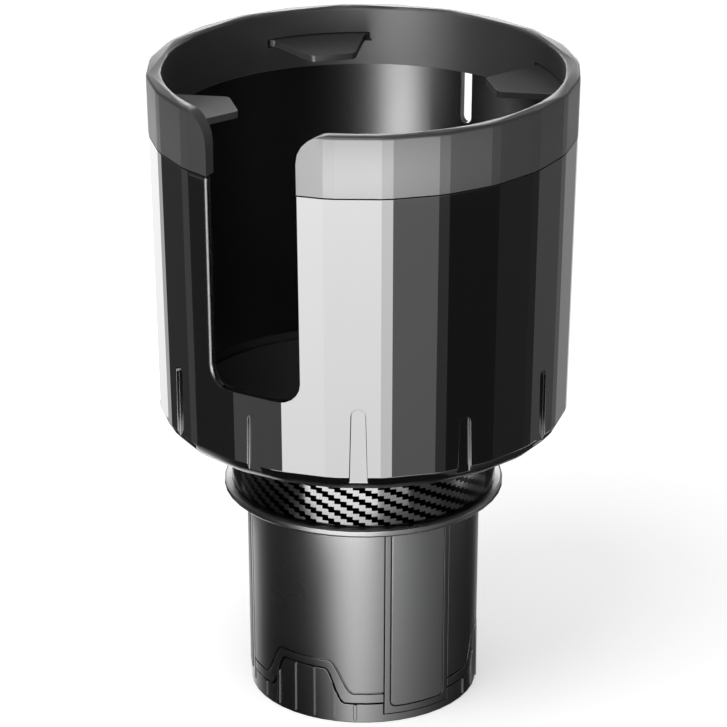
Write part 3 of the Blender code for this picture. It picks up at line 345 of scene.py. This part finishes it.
def round_group(name, bores_only):
    """Give walls that are turned about the cup's axis their true round normals."""
    group, source = new_group(name)
    true_normal = add_node(group, "GeometryNodeInputNormal").outputs["True Normal"]
    face = add_node(group, "GeometryNodeFieldOnDomain",
                    {"domain": "FACE", "data_type": "FLOAT_VECTOR"}, i0=true_normal).outputs[0]
    place = split(group, add_node(group, "GeometryNodeInputPosition").outputs[0])
    outward = vector_node(group, "NORMALIZE", combine(group, X=place["X"], Y=place["Y"]))["Vector"]
    facing = vector_node(group, "DOT_PRODUCT", face, outward)["Value"]
    slope = split(group, face)["Z"]
    level = math_node(group, "SUBTRACT", 1.0, math_node(group, "POWER", slope, 2.0))
    reach = math_node(group, "SQRT", level)
    signed_reach = math_node(group, "MULTIPLY", math_node(group, "SIGN", facing), reach)
    turned = vector_node(group, "SCALE", outward, Scale=signed_reach)["Vector"]
    true_round = vector_node(group, "ADD", turned, combine(group, Z=slope))["Vector"]
    if bores_only:
        across = math_node(group, "MULTIPLY", facing, -1.0)
    else:
        across = math_node(group, "ABSOLUTE", facing)
    limit = math_node(group, "MULTIPLY", reach, math.cos(math.radians(ROUND_SPREAD)))
    wall = all_of(group, math_node(group, "GREATER_THAN", across, limit),
                  math_node(group, "GREATER_THAN", reach, ROUND_REACH))
    usual = add_node(group, "GeometryNodeInputNormal").outputs["Normal"]
    chosen = add_node(group, "GeometryNodeSwitch", {"input_type": "VECTOR"}, Switch=wall,
                      **{"False": usual, "True": true_round}).outputs[0]
    done = add_node(group, "GeometryNodeSetMeshNormal", {"mode": "FREE", "domain": "CORNER"},
                    Mesh=source, **{"Custom Normal": chosen})
    add_node(group, "NodeGroupOutput", Geometry=done.outputs[0])
    return group


def soften(node, style):
    """Shade a CAD node smooth and round its sharp edges."""
    name = node.name
    bend_limit, width, facet_limit = style
    node.modifiers.new("Join", "NODES").node_group = edge_group(name, bend_limit, facet_limit)
    if width:
        flat = node.modifiers.new("Flatten", "DECIMATE")
        flat.decimate_type = "DISSOLVE"
        flat.angle_limit = math.radians(FLAT_BEND)
        flat.delimit = {"SHARP"}
        bevel = node.modifiers.new("Round", "BEVEL")
        bevel.width = width
        bevel.segments = ROUNDING_SEGMENTS
        bevel.limit_method = "ANGLE"
        bevel.angle_limit = math.radians(bend_limit)
        bevel.harden_normals = True
    if name in ROUND_PIECES:
        node.modifiers.new("Turn", "NODES").node_group = round_group(name, name in FACETED_PIECES)


# Studio

def stage_mesh(name, corners, faces, material):
    mesh = bpy.data.meshes.new(name)
    mesh.from_pydata(corners, [], faces)
    mesh.materials.append(material)
    piece = bpy.data.objects.new(name, mesh)
    bpy.context.collection.objects.link(piece)
    return piece


def glow_material():
    """Light given off at the strength that the mesh's points carry."""
    material, tree, shader = new_material("glow")
    tree.nodes.remove(shader)
    strength = add_node(tree, "ShaderNodeAttribute", {"attribute_name": "glow"}).outputs["Fac"]
    light = add_node(tree, "ShaderNodeEmission", Strength=strength).outputs[0]
    tree.links.new(light, tree.nodes["Material Output"].inputs["Surface"])
    material.cycles.emission_sampling = "NONE"
    return material


def glow_mesh(name, corners, faces, strengths, material):
    """Glowing mesh that only reflections see."""
    piece = stage_mesh(name, corners, faces, material)
    layer = piece.data.attributes.new("glow", "FLOAT", "POINT")
    layer.data.foreach_set("value", strengths)
    piece.visible_camera = False
    piece.visible_diffuse = False
    piece.visible_transmission = False
    piece.visible_shadow = False


def ring_stations(stops):
    """Azimuths and strengths a few degrees apart, interpolated between a ring's stops."""
    stations = [stops[0]]
    for (left, first), (right, last) in zip(stops, stops[1:]):
        steps = max(1, math.ceil((right - left) / RING_STEP))
        for index in range(1, steps + 1):
            share = index / steps
            stations.append((left + (right - left) * share, first + (last - first) * share))
    return stations


def dimming(azimuth):
    """Share of a ring's strength that gives lacquered pieces the look of plain ones (Schlick)."""
    facing = math.cos(math.radians(VIEW_ELEVATION)) * math.cos(math.radians(azimuth / 2))
    graze = (1.0 - facing) ** 5
    return (PLAIN_MIRROR + (1.0 - PLAIN_MIRROR) * graze) / (MIRROR + (1.0 - MIRROR) * graze)


def build_rings():
    material = glow_material()
    for name, (radius, (low, low_gain), (high, high_gain), stops) in RINGS.items():
        corners = []
        strengths = []
        for azimuth, strength in ring_stations(stops):
            if name != UNDIMMED_RING:
                strength *= dimming(azimuth)
            corners += [polar(radius, VIEW_AZIMUTH + azimuth, height) for height in (low, high)]
            strengths += [strength * low_gain, strength * high_gain]
        faces = [(foot, foot + 2, foot + 3, foot + 1) for foot in range(0, len(corners) - 2, 2)]
        glow_mesh(name, corners, faces, strengths, material)
    points = range(DISC_POINTS)
    for name, (height, strength) in DISCS.items():
        rim = [polar(DISC_RADIUS, 360 / DISC_POINTS * index, height) for index in points]
        glow_mesh(name, rim, [tuple(points)], [strength] * DISC_POINTS, material)


def background_rays(tree):
    """1 for rays that look at the background, straight or in a reflection."""
    rays = add_node(tree, "ShaderNodeLightPath").outputs
    mirrored = math_node(tree, "MAXIMUM", rays["Is Glossy Ray"], rays["Is Transmission Ray"])
    return math_node(tree, "MAXIMUM", rays["Is Camera Ray"], mirrored)


def build_floor():
    """White floor that keeps the object's shadow."""
    material, tree, shader = new_material("floor")
    shader.inputs["Base Color"].default_value = (FLOOR_TONE, FLOOR_TONE, FLOOR_TONE, 1.0)
    shader.inputs["Roughness"].default_value = FLOOR_ROUGHNESS
    shader.inputs["Specular IOR Level"].default_value = 0.0
    glow = math_node(tree, "MULTIPLY", background_rays(tree), FLOOR_GLOW)
    tree.links.new(glow, shader.inputs["Emission Strength"])
    shader.inputs["Emission Color"].default_value = (1.0, 1.0, 1.0, 1.0)
    half = FLOOR_SIZE / 2
    corners = [(-half, -half, 0.0), (half, -half, 0.0), (half, half, 0.0), (-half, half, 0.0)]
    floor = stage_mesh("floor", corners, [(0, 1, 2, 3)], material)
    floor.visible_glossy = False


def build_world():
    world = bpy.data.worlds.new("studio")
    bpy.context.scene.world = world
    world.use_nodes = True
    tree = world.node_tree
    shader = tree.nodes["Background"]
    strength = map_range(tree, background_rays(tree), WORLD_LIGHT, WORLD_BACKGROUND)
    tree.links.new(strength, shader.inputs["Strength"])
    shader.inputs["Color"].default_value = (1.0, 1.0, 1.0, 1.0)


def aim(holder, azimuth, elevation, distance):
    """Place a lamp or camera on a sphere round the object, looking at its middle."""
    target = Vector((0.0, 0.0, VIEW_HEIGHT))
    reach = distance * math.cos(math.radians(elevation))
    rise = distance * math.sin(math.radians(elevation))
    offset = polar(reach, VIEW_AZIMUTH + azimuth, rise)
    holder.location = target + offset
    holder.rotation_euler = offset.to_track_quat("Z", "Y").to_euler()
    bpy.context.collection.objects.link(holder)


def area_light(name, azimuth, elevation, distance, size, power):
    lamp = bpy.data.lights.new(name, "AREA")
    lamp.shape = "DISK"
    lamp.size = size
    lamp.energy = power
    holder = bpy.data.objects.new(name, lamp)
    holder.visible_camera = False
    aim(holder, azimuth, elevation, distance)


def build_camera():
    camera = bpy.data.cameras.new("camera")
    camera.lens = LENS
    camera.sensor_width = SENSOR
    camera.clip_start = 0.01
    holder = bpy.data.objects.new("camera", camera)
    aim(holder, 0.0, VIEW_ELEVATION, VIEW_DISTANCE)
    bpy.context.scene.camera = holder


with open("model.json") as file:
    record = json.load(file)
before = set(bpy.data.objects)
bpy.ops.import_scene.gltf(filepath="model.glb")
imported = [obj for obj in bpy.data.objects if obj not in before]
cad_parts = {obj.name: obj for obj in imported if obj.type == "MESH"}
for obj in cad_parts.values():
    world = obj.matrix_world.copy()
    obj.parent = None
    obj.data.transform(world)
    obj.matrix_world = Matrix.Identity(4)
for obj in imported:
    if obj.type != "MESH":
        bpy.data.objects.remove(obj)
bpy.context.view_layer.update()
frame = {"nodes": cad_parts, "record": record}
bpy.context.scene.view_settings.view_transform = "Standard"

looks = {
    "gloss_black": two_finish("gloss_black", (0.004, 0.004, 0.0045), outside=0.06, inside=0.26),
    "satin_black": moulded("satin_black", (0.006, 0.006, 0.0065), roughness=0.28, vary=0.02,
                           grain_scale=5000.0, grain_depth=1e-6, rounding=0.00025),
    "collar_elastomer": moulded("collar_elastomer", (0.022, 0.022, 0.023), roughness=0.46,
                                vary=0.03, grain_scale=6000.0, grain_depth=2e-6),
    "pad_rubber": moulded("pad_rubber", (0.024, 0.025, 0.026), roughness=0.48, vary=0.04,
                          grain_scale=5000.0, grain_depth=4e-6),
    "carbon_twill": carbon_twill("carbon_twill"),
    "cam_nylon": moulded("cam_nylon", (0.08, 0.08, 0.082), roughness=0.45, vary=0.03,
                         grain_scale=4000.0, grain_depth=2e-6),
    "steel": turned_steel("steel"),
}
slots = {part["node"]: part["material_slot"] for part in frame["record"]["subparts"]}
for name, node in frame["nodes"].items():
    node.data.materials[0] = looks[slots[name]]
    soften(node, EDGE_STYLES.get(name, PLAIN_STYLE))

build_floor()
build_world()
build_rings()
area_light("top_lamp", azimuth=-40.0, elevation=60.0, distance=1.2, size=0.8, power=6.0)
build_camera()
